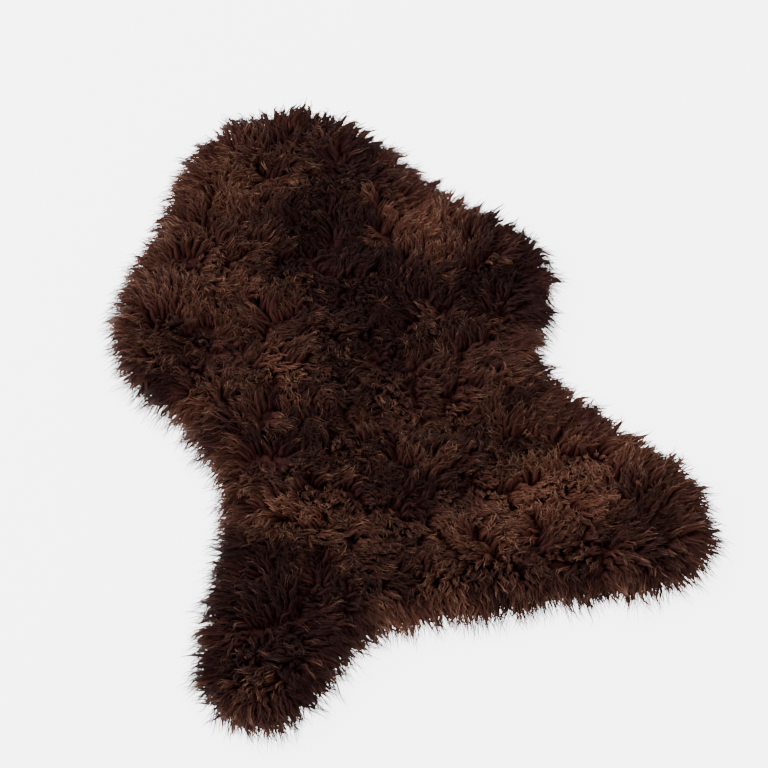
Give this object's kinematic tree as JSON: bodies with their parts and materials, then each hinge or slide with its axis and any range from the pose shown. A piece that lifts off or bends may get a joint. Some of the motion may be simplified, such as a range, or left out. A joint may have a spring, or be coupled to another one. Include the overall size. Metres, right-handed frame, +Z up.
{
  "type": "sheepskin",
  "caption": "Natural brown sheepskin laid out flat with its wool up: a thin hide with a crown, two shoulders, a waist and two haunches, under deep wavy wool in pointed locks.",
  "frame": {"origin": "centre of the bounding box at floor level, on the flesh side of the hide", "axes": "+Y from the haunches to the crown, +X towards the right shoulder as seen from above, +Z up, the wool side"},
  "size_m": [0.8612, 1.184, 0.0652],
  "materials": {
    "hide": "tanned suede, matt",
    "wool": "natural dark brown wool, soft sheen, paler tips"
  },
  "bodies": {
    "root": {"hide": "hide", "fleece": "wool"}
  },
  "joints": []
}
